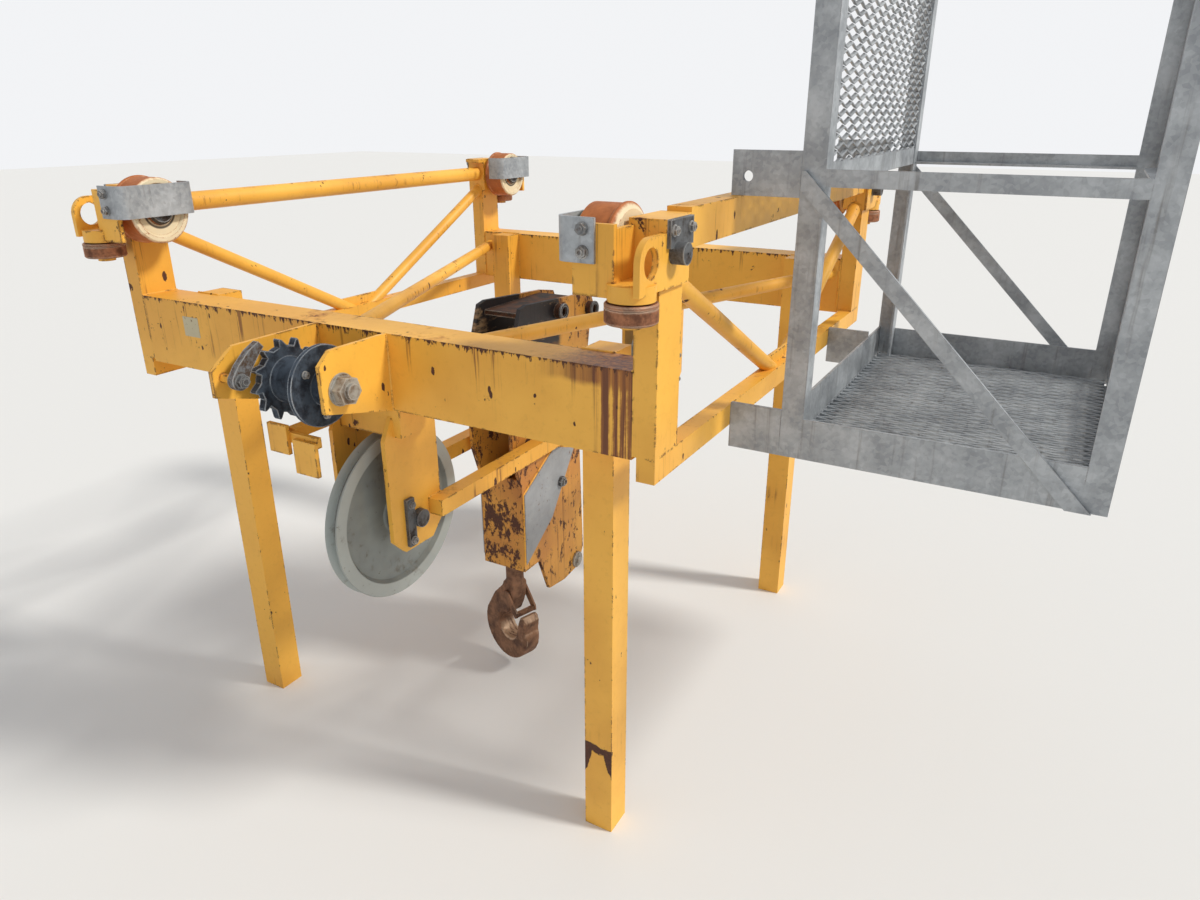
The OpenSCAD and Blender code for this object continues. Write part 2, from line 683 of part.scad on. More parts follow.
module basket_braces() color(galvanised) {
    basket_brace(basket_y0 - brace_t - seat);
    basket_brace(basket_y1 + seat);
}

// Expanded metal against the side legs of the two posts towards the trolley
module basket_mesh() color(galvanised) {
    y0 = basket_y0 + angle_t + seat;
    w = basket_l - 2 * (angle_t + seat);
    z0 = knee_z - knee_bar;
    h = basket_top - z0 - 6;
    edge = 28;
    translate([basket_x + angle_w - angle_t - seat - mesh_t, y0, z0]) rotate([90, 0, 90]) {
        diamonds(w, h, 160, 64, 8, mesh_t);
        linear_extrude(mesh_t) difference() {
            square([w, h]);
            translate([edge, edge]) square([w - 2 * edge, h - 2 * edge]);
        }
    }
}

// The upper brackets rest on the right top beam, and the lower ones lean on the rail
module basket_brackets() color(galvanised)
    for (y = [basket_y0, far_bracket_y]) {
        difference() {
            box(half_w - 26, basket_x - seat, y, y + bracket_t, top_beam_z1 + seat, top_beam_z1 + 90);
            translate([half_w + 8, y - 1, top_beam_z1 + 39]) rotate([-90, 0, 0])
                cylinder(r = bracket_hole_r, h = bracket_t + 2);
        }
        box(half_w + seat, basket_x - seat, y, y + bracket_t, basket_z, basket_z + 106);
    }

placed() front_beam();
placed() rear_beam();
placed() corner_post(-1, -1);  // left_front_post
placed() corner_post(1, -1);  // right_front_post
placed() corner_post(-1, 1);  // left_rear_post
placed() corner_post(1, 1);  // right_rear_post
placed() legs(-1);  // front_legs
placed() legs(1);  // rear_legs
placed() left_rail();
placed() right_rail();
placed() left_truss();
placed() right_truss();
placed() right_top_beam();
placed() plan_bracing();
placed() hanger(-1);  // front_hanger
placed() hanger(1);  // rear_hanger
placed() tie_tubes();
placed() winch_brackets();
placed() rope_anchor();
placed() wheel_axles();
placed() wheel_guards();
placed() running_wheel(-1, -1);  // left_front_wheel
placed() running_wheel(1, -1);  // right_front_wheel
placed() running_wheel(-1, 1);  // left_rear_wheel
placed() running_wheel(1, 1);  // right_rear_wheel
placed() guide_roller(-1, -1);  // left_front_roller
placed() guide_roller(1, -1);  // right_front_roller
placed() guide_roller(-1, 1);  // left_rear_roller
placed() guide_roller(1, 1);  // right_rear_roller
placed() pulley(-1);  // front_pulley
placed() pulley(1);  // rear_pulley
placed() winch_drum();
placed() winch_pawl();
placed() block_frame();
placed() block_head();
placed() sheave(front_sheave_y);  // front_sheave
placed() sheave(rear_sheave_y);  // rear_sheave
placed() hook();
placed() hook_latch();
placed() basket_posts();
placed() basket_toe_boards();
placed() basket_floor();
placed() basket_rails();
placed() basket_braces();
placed() basket_mesh();
placed() basket_brackets();
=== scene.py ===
# %% [markdown]
# This lesson dresses the imported model of a crane's jib trolley, which stands on
# its assembly legs with the hook block stored inside and a service basket at
# its side. The solids arrive finished and fixed. Here they get worn paint, rust
# and galvanising, and the fine pieces that are too many for the solid model.
# The cell below loads them.

# %% Load the fixed frame
import json
import math

import bmesh
import bpy
from mathutils import Matrix, Vector


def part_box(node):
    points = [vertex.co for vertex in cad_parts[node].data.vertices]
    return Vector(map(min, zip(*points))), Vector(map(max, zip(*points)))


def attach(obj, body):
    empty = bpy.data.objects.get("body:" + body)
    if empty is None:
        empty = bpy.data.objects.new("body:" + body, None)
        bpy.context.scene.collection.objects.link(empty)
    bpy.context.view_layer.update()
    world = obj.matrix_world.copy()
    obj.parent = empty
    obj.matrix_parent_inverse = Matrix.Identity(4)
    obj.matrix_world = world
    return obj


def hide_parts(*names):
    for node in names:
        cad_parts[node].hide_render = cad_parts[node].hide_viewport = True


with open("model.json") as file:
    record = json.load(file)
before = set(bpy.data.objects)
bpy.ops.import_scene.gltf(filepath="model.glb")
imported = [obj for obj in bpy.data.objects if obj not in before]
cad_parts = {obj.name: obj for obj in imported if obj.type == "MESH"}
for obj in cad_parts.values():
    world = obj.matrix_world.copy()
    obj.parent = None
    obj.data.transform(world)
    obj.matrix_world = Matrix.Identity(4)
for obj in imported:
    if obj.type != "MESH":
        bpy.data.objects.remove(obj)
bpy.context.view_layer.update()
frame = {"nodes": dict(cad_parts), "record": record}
nodes = frame["nodes"]
scene = bpy.context.scene

# %% [markdown]
# The trolley is nearly symmetric, so its own middle is the handiest place to
# measure from. Both cross beams give it: their outer corners lie as far to
# each side of it. A small function then turns trolley places into shared ones.

# %% Find the trolley's middle
front_low, front_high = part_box("front_beam")
rear_low, rear_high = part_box("rear_beam")
middle = (front_low + rear_high) / 2
middle.z = 0
beam_top = front_high.z
beam_under = front_low.z


def at(x, y, z):
    """A place measured from the trolley's middle, in the shared frame."""
    return Vector((middle.x + x, middle.y + y, z))


print("middle:", [round(v, 4) for v in middle])

# %% [markdown]
# The camera stands where the photographer stood: 1.7 m up, off the right front
# corner, looking down by about a quarter of a right angle. A lens of 25.4 mm
# gives the wide view that makes the near corner loom. It comes first, since
# every later choice of detail depends on how near each piece is to it.

# %% Camera
EYE = at(1.4095, -2.148, 1.700)
LOOK_LEFT = math.radians(29.25)
LOOK_DOWN = math.radians(21.67)
LENS_MM = 25.43
SENSOR_MM = 36.0
camera_data = bpy.data.cameras.new("camera")
camera_data.lens = LENS_MM
camera_data.sensor_width = SENSOR_MM
camera = bpy.data.objects.new("camera", camera_data)
camera.location = EYE
camera.rotation_euler = (math.pi / 2 - LOOK_DOWN, 0, LOOK_LEFT)
scene.collection.objects.link(camera)
scene.camera = camera
scene.view_settings.view_transform = "Standard"

# %% [markdown]
# Shader maths reads best as ordinary expressions. The small class below wraps
# one socket, so that adding or multiplying two of them places the Math nodes.
# Everything that isn't plain maths comes from one method, which takes a node's
# type, its settings and the values or links of its sockets.

# %% Sockets that calculate


class Flow:
    """One output socket of a shader, which can be added, scaled and compared."""

    def __init__(self, tree, socket):
        self.tree = tree
        self.socket = socket

    def maths(self, operation, *others, flip=False, clamp=False):
        node = self.tree.nodes.new("ShaderNodeMath")
        node.operation = operation
        node.use_clamp = clamp
        values = (self, *others)
        if flip:
            values = values[::-1]
        for socket, value in zip(node.inputs, values):
            feed(self.tree, socket, value)
        return Flow(self.tree, node.outputs[0])

    def __add__(self, other):
        return self.maths("ADD", other)

    def __radd__(self, other):
        return self.maths("ADD", other)

    def __sub__(self, other):
        return self.maths("SUBTRACT", other)

    def __rsub__(self, other):
        return self.maths("SUBTRACT", other, flip=True)

    def __mul__(self, other):
        return self.maths("MULTIPLY", other)

    def __rmul__(self, other):
        return self.maths("MULTIPLY", other)

    def clamped(self):
        return self.maths("ADD", 0.0, clamp=True)


def feed(tree, socket, value):
    """Links a Flow to a socket, or sets a plain value on it."""
    if isinstance(value, Flow):
        tree.links.new(value.socket, socket)
    else:
        socket.default_value = value


class Nodes:
    """A node tree and the one method that adds to it whatever isn't plain maths."""

    def __init__(self, tree):
        self.tree = tree

    def node(self, kind, settings=(), out=0, inputs=()):
        made = self.tree.nodes.new(kind)
        for name, value in dict(settings).items():
            setattr(made, name, value)
        for name, value in dict(inputs).items():
            feed(self.tree, made.inputs[name], value)
        return Flow(self.tree, made.outputs[out])


class Finish(Nodes):
    """A material whose Principled shader is fed by expressions."""

    def __init__(self, name):
        self.material = bpy.data.materials.new(name)
        self.material.use_nodes = True
        super().__init__(self.material.node_tree)
        self.shader = self.tree.nodes["Principled BSDF"]
        self.place = self.node("ShaderNodeTexCoord", out="Object")

    def stretched(self, x, y, z):
        return self.node("ShaderNodeVectorMath", {"operation": "MULTIPLY"},
                         inputs={0: self.place, 1: (x, y, z)})

    def noise(self, scale, detail=3.0, rough=0.55, place=None):
        return self.node("ShaderNodeTexNoise", inputs={
            "Vector": place or self.place, "Scale": scale, "Detail": detail, "Roughness": rough})

    def cells(self, scale, place=None, out="Distance"):
        return self.node("ShaderNodeTexVoronoi", out=out, inputs={
            "Vector": place or self.place, "Scale": scale})

    def step(self, value, low, high):
        """0 below low, 1 above high, with a smooth rise between them."""
        return self.node("ShaderNodeMapRange", {"interpolation_type": "SMOOTHSTEP"}, inputs={
            "Value": value, "From Min": low, "From Max": high})

    def fall(self, value, low, high):
        """1 below low, 0 above high, with a smooth fall between them."""
        return 1.0 - self.step(value, low, high)

    def mix(self, factor, first, second):
        """Colour that goes from the first to the second as factor goes from 0 to 1."""
        return self.node("ShaderNodeMix", {"data_type": "RGBA"}, out=2,
                         inputs={0: factor, 6: first, 7: second})

    def part(self, axis, vector):
        """One coordinate of a vector, or one channel of a colour."""
        return self.node("ShaderNodeSeparateXYZ", out=axis, inputs={0: vector})

    def facing(self, axis):
        """How far a surface faces along X, Y or Z, from -1 to 1."""
        return self.part(axis, self.node("ShaderNodeNewGeometry", out="Normal"))

    def along(self, axis):
        return self.part(axis, self.place)

    def edges(self, radius):
        """Near 1 along edges and in corners, 0 on flat stretches."""
        soft = self.node("ShaderNodeBevel", {"samples": 4}, inputs={"Radius": radius})
        true = self.node("ShaderNodeNewGeometry", out="Normal")
        same = self.node("ShaderNodeVectorMath", {"operation": "DOT_PRODUCT"}, out="Value",
                         inputs={0: soft, 1: true})
        return self.step(1.0 - same, 0.01, 0.16)

    def bump(self, height, strength, distance):
        return self.node("ShaderNodeBump", inputs={
            "Height": height, "Strength": strength, "Distance": distance})

    def set(self, **sockets):
        for name, value in sockets.items():
            feed(self.tree, self.shader.inputs[name.replace("_", " ")], value)
        return self.material


def colour(red, green, blue):
    """A colour written as it shows on screen, from 0 to 255."""
    def linear(v):
        v = v / 255
        return v / 12.92 if v <= 0.04045 else ((v + 0.055) / 1.055) ** 2.4
    return (linear(red), linear(green), linear(blue), 1.0)


# %% [markdown]
# The frame's golden yellow paint has been knocked for years. Dark chips eat in
# from the edges and dot the faces, brown water runs hang below the edges, and
# level faces that hold rain are rusty orange. A Bevel node finds the edges, and
# slow noise breaks their wear up, because even lines along every edge would
# look drawn. Stretched noise makes the runs, and the direction in which the
# surface faces finds the level parts.

# %% Yellow paint


def cell_spots(f, scale, channel, place, reach, ragged, soft):
    """Irregular spots, one in each cell, of which most draw a small size."""
    draw = f.part(channel, f.cells(scale, place, out="Color"))
    squared = draw * draw
    return f.step(reach * squared * squared + ragged - f.cells(scale, place), 0.0, soft)


def painted(name, sun, shade, chipped, rusty_top, runs, run_top=None, extra=None):
    """Worn paint: how chipped it is, how rusty on level faces and how full of runs."""
    f = Finish(name)
    edge = f.edges(0.005 + 0.006 * chipped)
    broad = f.noise(2.7, 4.0)
    patch = f.noise(13.0, 4.0, 0.6)
    fine = f.noise(62.0, 5.0, 0.7)
    grit = f.noise(260.0, 2.0)
    # Wear along the edges comes and goes, and is ragged
    worn = f.step(0.55 * patch + 0.45 * fine + 0.125 * edge, 0.640, 0.665)
    # Knocks on the faces, and more but smaller specks
    tall = f.stretched(1.0, 1.0, 0.45)
    knocks = cell_spots(f, 34.0, "X", tall, 0.50 * f.step(broad, 0.38, 0.62),
                        0.34 * fine + 0.10 * grit - 0.40, 0.03)
    specks = cell_spots(f, 70.0, "Y", tall, 0.60 * f.step(patch, 0.46, 0.60), 0.3 * fine - 0.34, 0.04)
    flaking = 0.655 - 0.05 * chipped
    flakes = f.step(0.5 * patch + 0.5 * f.noise(31.0, 5.0, 0.75), flaking, flaking + 0.02)
    chips = (worn + knocks + specks + flakes).clamped()
    # Rust on level faces
    level = f.step(f.facing("Z"), 0.75, 0.95)
    patches = f.step(f.noise(6.5, 5.0, 0.7) + 0.3 * fine, 0.86 - 0.42 * rusty_top, 1.06 - 0.38 * rusty_top)
    top_rust = level * patches
    # Runs down upright faces
    upright = f.fall(f.facing("Z").maths("ABSOLUTE"), 0.3, 0.7)
    streak = f.noise(1.0, 4.0, 0.65, f.stretched(70.0, 70.0, 1.9))
    hair = f.noise(1.0, 3.0, 0.6, f.stretched(210.0, 210.0, 3.5))
    where = f.step(broad + 0.4 * patch, 0.76 - 0.25 * runs, 0.96 - 0.25 * runs)
    drips = f.step(0.7 * streak + 0.3 * hair, 0.54, 0.66) * where * upright
    if run_top is not None:
        # Paint bitten off below the top edge, and a few longer runs
        depth = run_top - f.along("Z")
        lumps = f.noise(1.0, 5.0, 0.75, f.stretched(80.0, 80.0, 24.0))
        bites = f.fall(depth - 0.10 * (lumps - 0.49), -0.001, 0.001) * upright
        chips = (chips + bites).clamped()
        long_runs = f.step(streak, 0.60, 0.70) * f.fall(depth, 0.02, 0.09) * upright * 0.7
        drips = (drips + long_runs).clamped()
    tint = f.mix(f.step(broad, 0.35, 0.68), sun, shade)
    tint = f.mix(f.step(fine, 0.5, 0.8) * 0.30, tint, colour(196, 140, 56))
    tint = f.mix(drips * 0.78, tint, f.mix(hair, colour(134, 74, 30), colour(84, 42, 20)))
    tint = f.mix(top_rust, tint, f.mix(fine, colour(222, 158, 88), colour(140, 84, 46)))
    if extra is not None:
        tint, chips = extra(f, tint, chips, fine, patch)
    tint = f.mix(chips, tint, f.mix(grit, colour(34, 24, 18), colour(104, 56, 30)))
    rough = 0.40 + 0.16 * fine + 0.26 * (chips + top_rust).clamped() + 0.12 * drips
    height = 0.10 * grit + 0.16 * fine - 0.8 * chips - 0.25 * top_rust
    return f.set(Base_Color=tint, Roughness=rough, Normal=f.bump(height, 0.5, 0.0016))


RUSTY_END_X = 0.640
LEG_X = 0.593
PATCH_LOW = 0.232
PATCH_HIGH = 0.260
DARK_LOW = 1.070
PLATES_TOP = 0.76
SIDE_INSET = 0.020


def rusty_end(f, tint, chips, fine, patch):
    """Dark runs down the right end of the front beam's face, from a rusty top band."""
    lines = f.noise(1.0, 4.0, 0.7, f.stretched(85.0, 85.0, 1.6))
    right = f.along("X") - (middle.x + RUSTY_END_X) + 0.05 * (lines - 0.5)
    near = f.step(right, 0.0, 0.018)
    below_top = beam_top - f.along("Z")
    band = f.fall(below_top, 0.012 + 0.03 * patch, 0.030 + 0.03 * patch) * f.step(right, -0.16, -0.02)
    rust = f.mix(f.step(lines, 0.42, 0.60), colour(166, 104, 38), colour(106, 56, 20))
    covered = (near * f.step(lines + 0.2 * fine, 0.50, 0.60) + 0.9 * band).clamped()
    return f.mix(covered, tint, rust), chips


def bare_foot(f, tint, chips, fine, patch):
    """Paint gone in a ragged dark patch, low on the right front leg's front."""
    height = f.along("Z") + 0.05 * (patch - 0.5) + 0.03 * (fine - 0.5)
    across = (f.along("X") - (middle.x + LEG_X)).maths("ABSOLUTE")
    lower = PATCH_LOW - 0.072 * f.step(across + 0.02 * (patch - 0.5), 0.012, 0.040)
    band = f.step(height - lower, -0.003, 0.003) * f.fall(height, PATCH_HIGH - 0.002, PATCH_HIGH + 0.002)
    front = f.fall(f.facing("Y"), -0.8, -0.6) * f.step(f.along("X"), middle.x, middle.x + 0.01)
    gone = band * front * f.fall(f.along("Y"), middle.y - 0.01, middle.y)
    return tint, (chips + gone).clamped()


def block_side_marks(f, tint, chips, fine, patch):
    """Black, streaked with brown, high on the hook block's front part, flaked paint low on it, and bare steel
    on its plates.
    """
    height = f.along("Z")
    flaked = f.noise(1.0, 6.0, 0.78, f.stretched(34.0, 34.0, 20.0))
    front = f.fall(f.facing("Y"), -0.8, -0.5)
    flakes = f.step(flaked + 0.055 * front + 0.10 * (patch - 0.5), 0.555, 0.585)
    chips = (chips + flakes).clamped()
    back = f.along("Y") - middle.y
    # Black, streaked with brown, on the upper front part of the block
    upper = f.step(height + 0.05 * patch, DARK_LOW, DARK_LOW + 0.040)
    upper = upper * f.fall(back + 0.03 * fine, -0.055, -0.035)
    streaking = f.step(f.noise(1.0, 4.0, 0.7, f.stretched(9.0, 9.0, 30.0)), 0.55, 0.68)
    black = f.mix(streaking, colour(24, 20, 22), colour(150, 124, 92))
    out = (f.along("X") - block_middle).maths("ABSOLUTE")
    bare = f.step(out, block_side + 0.001, block_side + 0.002) * f.fall(height, PLATES_TOP, PLATES_TOP + 0.01)
    steel = f.mix(f.noise(15.0, 5.0, 0.7), colour(166, 170, 174), colour(118, 120, 122))
    steel = f.mix(f.step(fine, 0.6, 0.7), steel, colour(104, 70, 46))
    tint = f.mix(bare, f.mix(upper, tint, black), steel)
    return tint, chips * (1.0 - upper) * (1.0 - bare)


head_low, head_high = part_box("block_head")
block_middle = (head_low.x + head_high.x) / 2
block_side = (head_high.x - head_low.x) / 2 - SIDE_INSET
SUN_YELLOW = colour(244, 184, 72)
SHADE_YELLOW = colour(226, 164, 58)
front_paint = painted("front_paint", SUN_YELLOW, SHADE_YELLOW, chipped=0.5, rusty_top=0.45, runs=0.35,
                      run_top=beam_top, extra=rusty_end)
rear_paint = painted("rear_paint", SUN_YELLOW, SHADE_YELLOW, chipped=0.5, rusty_top=0.4, runs=0.4,
                     run_top=beam_top)
frame_paint = painted("frame_paint", SUN_YELLOW, SHADE_YELLOW, chipped=0.5, rusty_top=0.4, runs=0.4)
post_paint = painted("post_paint", SUN_YELLOW, SHADE_YELLOW, chipped=0.72, rusty_top=0.5, runs=0.5)
leg_paint = painted("leg_paint", SUN_YELLOW, SHADE_YELLOW, chipped=0.35, rusty_top=0.4, runs=0.25,
                    extra=bare_foot)
block_paint = painted("block_paint", colour(222, 160, 62), colour(184, 120, 50), chipped=1.15,
                      rusty_top=1.0, runs=0.9, extra=block_side_marks)

# %% [markdown]
# The basket and the wheel guards are hot-dip galvanised. Zinc freezes into
# crystals of slightly different greys, which Voronoi cells give, and it dulls
# with age, so it is only partly metallic and quite rough. Most other steels share
# one recipe with their own colours: pitted faces, and edges that are partly
# rubbed bright and partly given a painted highlight. The forged hook has its
# own, with painted sunlit patches and highlights, brightest on up-facing faces.

# %% Galvanising and bare steels


def galvanised(name, light, dark):
    """Zinc crystals between two greys, with clouds and upright stains."""
    f = Finish(name)
    grey = f.part("X", f.cells(120.0, out="Color"))
    cloud = f.noise(9.0, 5.0, 0.65)
    stain = f.step(f.noise(1.0, 3.0, 0.6, f.stretched(60.0, 60.0, 3.0)), 0.56, 0.78)
    tint = f.mix((0.40 * grey + 0.80 * f.step(cloud, 0.35, 0.7)).clamped(), dark, light)
    tint = f.mix(0.55 * stain, tint, colour(98, 90, 82))
    tint = f.mix(0.6 * f.edges(0.003) * f.step(cloud, 0.5, 0.6), tint, colour(86, 74, 64))
    rough = 0.36 + 0.26 * cloud + 0.10 * grey
    return f.set(Base_Color=tint, Metallic=0.5, Roughness=rough,
                 Normal=f.bump(0.3 * grey + f.noise(400.0, 2.0), 0.25, 0.0006))


def bare_steel(name, face, deep, bright, metal=0.7, rub_and_highlight=0.8, scale=40.0):
    """Steel with its face's colour, a deeper one in the pits, and a bright one on edges for wear and painted
    highlights.
    """
    f = Finish(name)
    pits = f.noise(scale, 5.0, 0.7)
    broad = f.noise(scale * 0.17, 3.0)
    edge = f.edges(0.005)
    tint = f.mix(f.step(pits + 0.4 * broad, 0.55, 0.85), face, deep)
    # Edges rubbed bright, and also given painted highlights
    rubbed_and_highlit = (rub_and_highlight * edge * f.step(broad + 0.5 * pits, 0.50, 0.85)).clamped()
    tint = f.mix(rubbed_and_highlit, tint, bright)
    rough = 0.64 - 0.28 * rubbed_and_highlit + 0.2 * pits
    return f.set(Base_Color=tint, Metallic=metal, Roughness=rough,
                 Normal=f.bump(pits + 0.4 * f.noise(scale * 6, 2.0), 0.45, 0.0012))


zinc = galvanised("zinc", colour(184, 188, 191), colour(138, 142, 146))
roller_steel = bare_steel("roller_steel", colour(172, 116, 82), colour(104, 66, 46), colour(226, 200, 176),
                          metal=0.45, rub_and_highlight=1.0)
dark_steel = bare_steel("dark_steel", colour(78, 88, 100), colour(44, 48, 56), colour(206, 214, 222),
                        rub_and_highlight=0.9)
axle_steel = bare_steel("axle_steel", colour(112, 114, 116), colour(64, 54, 48), colour(210, 212, 210))
bolt_steel = bare_steel("bolt_steel", colour(132, 134, 136), colour(92, 74, 60), colour(216, 216, 212),
                        scale=90.0)
bright_steel = bare_steel("bright_steel", colour(178, 176, 168), colour(126, 108, 90),
                          colour(226, 224, 216), metal=0.6)
grease_black = bare_steel("grease_black", colour(34, 28, 24), colour(96, 58, 34), colour(190, 186, 176),
                          metal=0.4, scale=26.0)

SHINE_FADES = 0.20
SHINE_ENDS = 0.27


def forging(name):
    """Brown forged steel with painted sunlit patches and highlights, brightest on up-facing surfaces low on
    the hook.
    """
    f = Finish(name)
    scale = f.noise(22.0, 5.0, 0.7)
    fine = f.noise(90.0, 4.0, 0.7)
    streak = f.noise(1.0, 4.0, 0.65, f.stretched(26.0, 70.0, 11.0))
    # Painted highlight: up-facing surfaces and bright streaks stand for sunlit patches
    up = f.step(f.facing("Z"), 0.05, 0.65)
    rubbed_and_highlit = (up * f.step(streak + 0.2 * fine, 0.46, 0.62) + 0.5 * f.step(streak, 0.60, 0.70)).clamped()
    rubbed_and_highlit = rubbed_and_highlit * f.fall(f.along("Z"), SHINE_FADES, SHINE_ENDS)
    brown = f.mix(f.step(scale, 0.38, 0.66), colour(142, 104, 78), colour(84, 58, 44))
    tint = f.mix(rubbed_and_highlit, brown, f.mix(fine, colour(222, 196, 166), colour(168, 128, 98)))
    return f.set(Base_Color=tint, Metallic=0.35, Roughness=0.62 - 0.26 * rubbed_and_highlit + 0.15 * fine,
                 Normal=f.bump(scale + 0.5 * fine - 0.3 * rubbed_and_highlit, 0.5, 0.0014))


forged = forging("forged")

# %% [markdown]
# Wheels and pulleys are turned parts, so their wear, and the painted shade in
# the pulleys' rope grooves, go in rings about their axles. The four wheels stand
# alike about the trolley's middle, and so do both pulleys, so folding the
# coordinates with an absolute value lets one material measure how far each
# point is from its own axle.

# %% Turned faces


def from_axle(f, out, height):
    """Distance from an axle along X that lies so far out from the middle, and so high."""
    along = (f.along("Y") - middle.y).maths("ABSOLUTE") - out
    up = f.along("Z") - height
    return (along * along + up * up).maths("SQRT")


HUB_RADIUS = 0.043
HUB_GROOVE = 0.034
PULLEY_HUB = 0.046


def wheel_paint(name, out, height, tread):
    """A rusty tread, a cream side face and a dark hub with a turned groove."""
    f = Finish(name)
    fine = f.noise(60.0, 5.0, 0.7)
    radius = from_axle(f, out, height)
    side = f.step(f.facing("X").maths("ABSOLUTE"), 0.15, 0.35)
    rim = f.step(radius + 0.010 * fine, tread - 0.003, tread + 0.004)
    hub = f.fall(radius, HUB_RADIUS, HUB_RADIUS + 0.003)
    groove = hub * f.step(radius, HUB_GROOVE, HUB_GROOVE + 0.002) * f.fall(
        radius, HUB_GROOVE + 0.004, HUB_GROOVE + 0.006)
    kept = side * (1.0 - rim) * f.fall(fine + 0.2 * f.edges(0.004), 0.60, 0.70)
    rust = f.mix(f.noise(30.0, 5.0, 0.7), colour(214, 128, 62), colour(116, 60, 34))
    cream = f.mix(f.noise(11.0, 3.0), colour(240, 230, 202), colour(214, 192, 152))
    tint = f.mix(kept, rust, cream)
    tint = f.mix((0.9 * side * (hub - 0.7 * groove)).clamped(), tint, colour(48, 38, 34))
    return f.set(Base_Color=tint, Roughness=0.5 + 0.3 * fine, Metallic=0.15,
                 Normal=f.bump(fine - 0.5 * kept + groove, 0.5, 0.001))


def pulley_paint(name, out, height, outer):
    """Grey paint with a lighter rim, painted shade in the rope groove, and grease at the hub."""
    f = Finish(name)
    fine = f.noise(50.0, 5.0, 0.7)
    broad = f.noise(7.0, 3.0)
    radius = from_axle(f, out, height)
    side = f.step(f.facing("X").maths("ABSOLUTE"), 0.55, 0.8)
    # Painted shade: the rope groove is coloured near black, and the hub is dark with grease
    groove = f.step(radius, outer - 0.024, outer - 0.018) * (1.0 - side)
    groove_shade_and_hub_grease = f.mix(fine, colour(28, 27, 28), colour(84, 70, 58))
    rim = f.step(radius, outer - 0.036, outer - 0.031)
    grey = f.mix(f.step(broad, 0.30, 0.70), colour(158, 164, 160), colour(132, 138, 136))
    grey = f.mix(0.6 * rim, grey, colour(196, 202, 198))
    tint = f.mix(0.5 * f.step(broad + 0.5 * fine, 0.86, 0.98), grey, colour(104, 92, 78))
    tint = f.mix(f.step(fine, 0.66, 0.71), tint, colour(84, 70, 58))
    hub = f.fall(radius, PULLEY_HUB, PULLEY_HUB + 0.006)
    tint = f.mix((groove + hub).clamped(), tint, groove_shade_and_hub_grease)
    return f.set(Base_Color=tint, Roughness=0.42 + 0.3 * fine, Metallic=0.2,
                 Normal=f.bump(fine, 0.35, 0.001))


wheel_low, wheel_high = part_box("right_front_wheel")
wheel_at = (wheel_low + wheel_high) / 2
WHEEL_OUT = abs(wheel_at.y - middle.y)
pulley_low, pulley_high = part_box("front_pulley")
pulley_at = (pulley_low + pulley_high) / 2
PULLEY_OUT = abs(pulley_at.y - middle.y)
PULLEY_RADIUS = (pulley_high.z - pulley_low.z) / 2
cream_wheel = wheel_paint("cream_wheel", WHEEL_OUT, wheel_at.z, (wheel_high.z - wheel_low.z) / 2)
pulley_grey = pulley_paint("pulley_grey", PULLEY_OUT, pulley_at.z, PULLEY_RADIUS)
print("wheels", round(WHEEL_OUT, 4), "out, pulleys", round(PULLEY_OUT, 4), "out")

# %% Give the solids their finishes
finishes = {
    "yellow_paint": frame_paint, "block_paint": block_paint, "galvanised_steel": zinc,
    "wheel_paint": cream_wheel, "rusty_steel": roller_steel, "pulley_grey": pulley_grey,
    "worn_steel": axle_steel, "greasy_steel": grease_black, "forged_steel": forged,
}
for entry in frame["record"]["subparts"]:
    node = nodes[entry["node"]]
    node.data.materials.clear()
    node.data.materials.append(finishes[entry["material_slot"]])
special = {
    "front_beam": front_paint, "rear_beam": rear_paint, "front_legs": leg_paint, "rear_legs": leg_paint,
    "left_front_post": post_paint, "right_front_post": post_paint, "left_rear_post": post_paint,
    "right_rear_post": post_paint, "left_truss": post_paint, "plan_bracing": post_paint,
    "winch_drum": dark_steel, "winch_pawl": bolt_steel,
}
for name, finish in special.items():
    nodes[name].data.materials[0] = finish

# %% [markdown]
# Small turned and repeated pieces come next. Geometry Nodes suit what repeats:
# one tree holds the rule, its sizes are named inputs, and the same tree serves
# every place. The helper below evaluates a tree on a host object and keeps only
# the plain mesh, since the exported model has no modifiers or instances.

# %% Trees whose sizes are named


